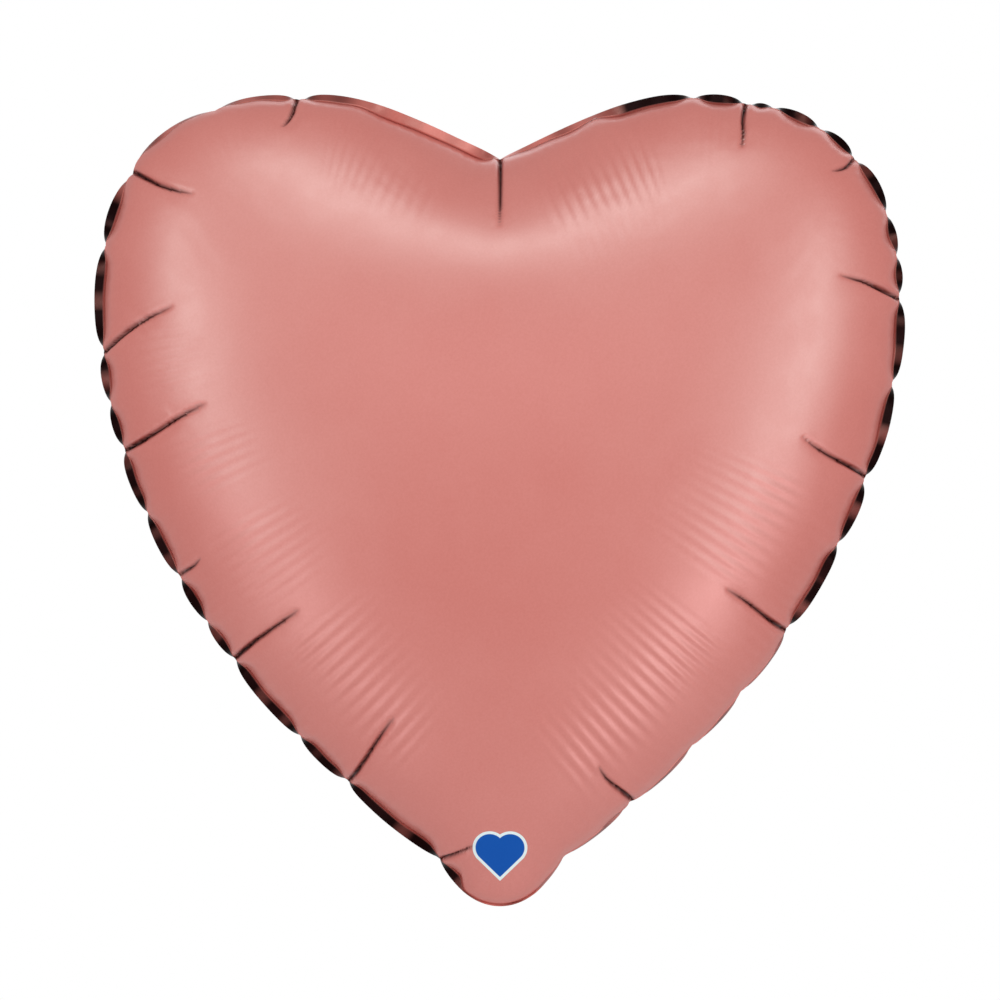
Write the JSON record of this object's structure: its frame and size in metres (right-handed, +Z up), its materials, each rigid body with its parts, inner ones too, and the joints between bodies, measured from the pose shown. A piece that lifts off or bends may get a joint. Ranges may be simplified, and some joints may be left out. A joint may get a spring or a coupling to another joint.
{
  "type": "heart-shaped foil balloon",
  "caption": "Gas-filled heart of metallised foil with a welded rim and a filling neck that holds a self-sealing valve and folds up behind the tip.",
  "frame": {"origin": "middle of the neck's fold line, just below the tip of the heart, where the balloon is tied", "axes": "+X to the right across the heart seen from the front, -Y out of the front, +Z up from the tip to the lobes"},
  "size_m": [0.398, 0.15, 0.4],
  "materials": {
    "foil": "satin metallised film, rose",
    "valve_film": "clear polyethylene film, slightly milky"
  },
  "bodies": {
    "root": {"front_panel": "foil", "back_panel": "foil", "valve_front_film_inner": "valve_film", "valve_back_film_inner": "valve_film"},
    "neck": {"neck_front_film": "foil", "neck_back_film": "foil", "valve_front_film_neck": "valve_film", "valve_back_film_neck": "valve_film"}
  },
  "joints": [
    {"name": "neck_fold", "type": "hinge", "parent": "root", "child": "neck", "pos_m": [0, 0, 0], "axis": [-1, 0, 0], "range_deg": [0, 136]}
  ]
}
